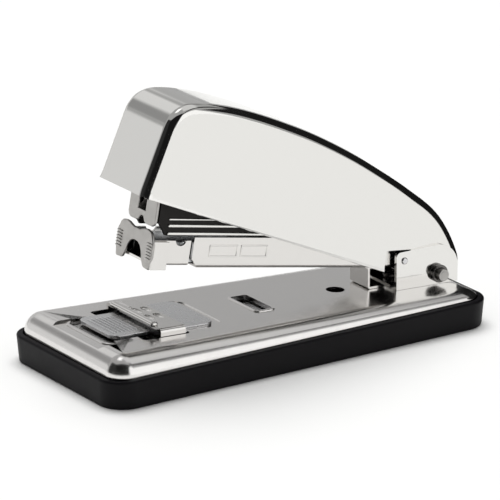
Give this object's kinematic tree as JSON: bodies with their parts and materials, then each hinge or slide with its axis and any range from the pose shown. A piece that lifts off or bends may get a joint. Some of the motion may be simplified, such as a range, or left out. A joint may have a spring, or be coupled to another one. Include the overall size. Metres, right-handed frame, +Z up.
{
  "type": "desktop stapler",
  "caption": "All-metal desktop stapler with a pressed shell handle, front-loading magazine, sliding anvil and a tapered base on a rubber sole",
  "frame": {"origin": "centre of the underside of the rubber sole, which rests on the desk", "axes": "+X from the nose to the rear hinge, +Y to the side that the embossed frames are not on, +Z up"},
  "size_m": [0.145, 0.0638, 0.086],
  "materials": {
    "rubber": "black moulded rubber, slight sheen",
    "chrome": "bright chrome plate on pressed steel",
    "satin_steel": "matt nickel-plated steel",
    "zinc_steel": "zinc-plated steel",
    "spring_steel": "spring steel",
    "staple_wire": "galvanised wire"
  },
  "bodies": {
    "base": {"rubber_sole": "rubber", "bottom_plate": "zinc_steel", "base_pan": "chrome", "sole_screw_1": "zinc_steel", "sole_screw_2": "zinc_steel", "sole_screw_3": "zinc_steel", "sole_screw_4": "zinc_steel", "anvil_detent_spring": "spring_steel", "catch_spring": "spring_steel", "hinge_bracket": "chrome", "bracket_bolt": "zinc_steel", "axle_pin": "zinc_steel", "axle_collar_near": "zinc_steel", "axle_collar_far": "zinc_steel", "stop_stud_near": "zinc_steel", "stop_stud_far": "zinc_steel", "lift_spring": "chrome"},
    "anvil": {"anvil_slide": "zinc_steel", "anvil_pad": "chrome"},
    "magazine": {"magazine_channel": "chrome", "magazine_chassis": "chrome", "return_spring": "spring_steel"},
    "slide": {"loading_slide": "zinc_steel", "nose_clip": "satin_steel", "guide_rod": "zinc_steel", "staple_strip": "staple_wire"},
    "pusher": {"staple_pusher": "satin_steel", "pusher_spring": "spring_steel"},
    "handle": {"handle_cover": "chrome", "driver_blade": "spring_steel", "driver_holder": "zinc_steel", "driver_rivet_near": "zinc_steel", "driver_rivet_far": "zinc_steel", "handle_stiffener": "zinc_steel"}
  },
  "joints": [
    {"name": "magazine_hinge", "type": "hinge", "parent": "base", "child": "magazine", "pos_m": [0.0618, 0, 0.015], "axis": [0, -1, 0], "range_deg": [0, 8.6], "stiffness_Nm_per_rad": 1, "springref_deg": -20.05, "deforming": ["lift_spring"]},
    {"name": "handle_hinge", "type": "hinge", "parent": "magazine", "child": "handle", "pos_m": [0.0618, 0, 0.015], "axis": [0, -1, 0], "range_deg": [0, 8.5], "stiffness_Nm_per_rad": 0.6, "springref_deg": -20.05, "deforming": ["return_spring"]},
    {"name": "loading_slide_out", "type": "slide", "parent": "magazine", "child": "slide", "axis": [0.984, 0, -0.1779], "range_m": [-0.07, 0]},
    {"name": "pusher_travel", "type": "slide", "parent": "slide", "child": "pusher", "axis": [0.984, 0, -0.1779], "range_m": [0, 0.03], "stiffness_N_per_m": 20, "springref_m": -0.03, "deforming": ["pusher_spring"]},
    {"name": "anvil_shift", "type": "slide", "parent": "base", "child": "anvil", "axis": [-0.9993, 0, 0.0365], "range_m": [0, 0.0054]}
  ]
}
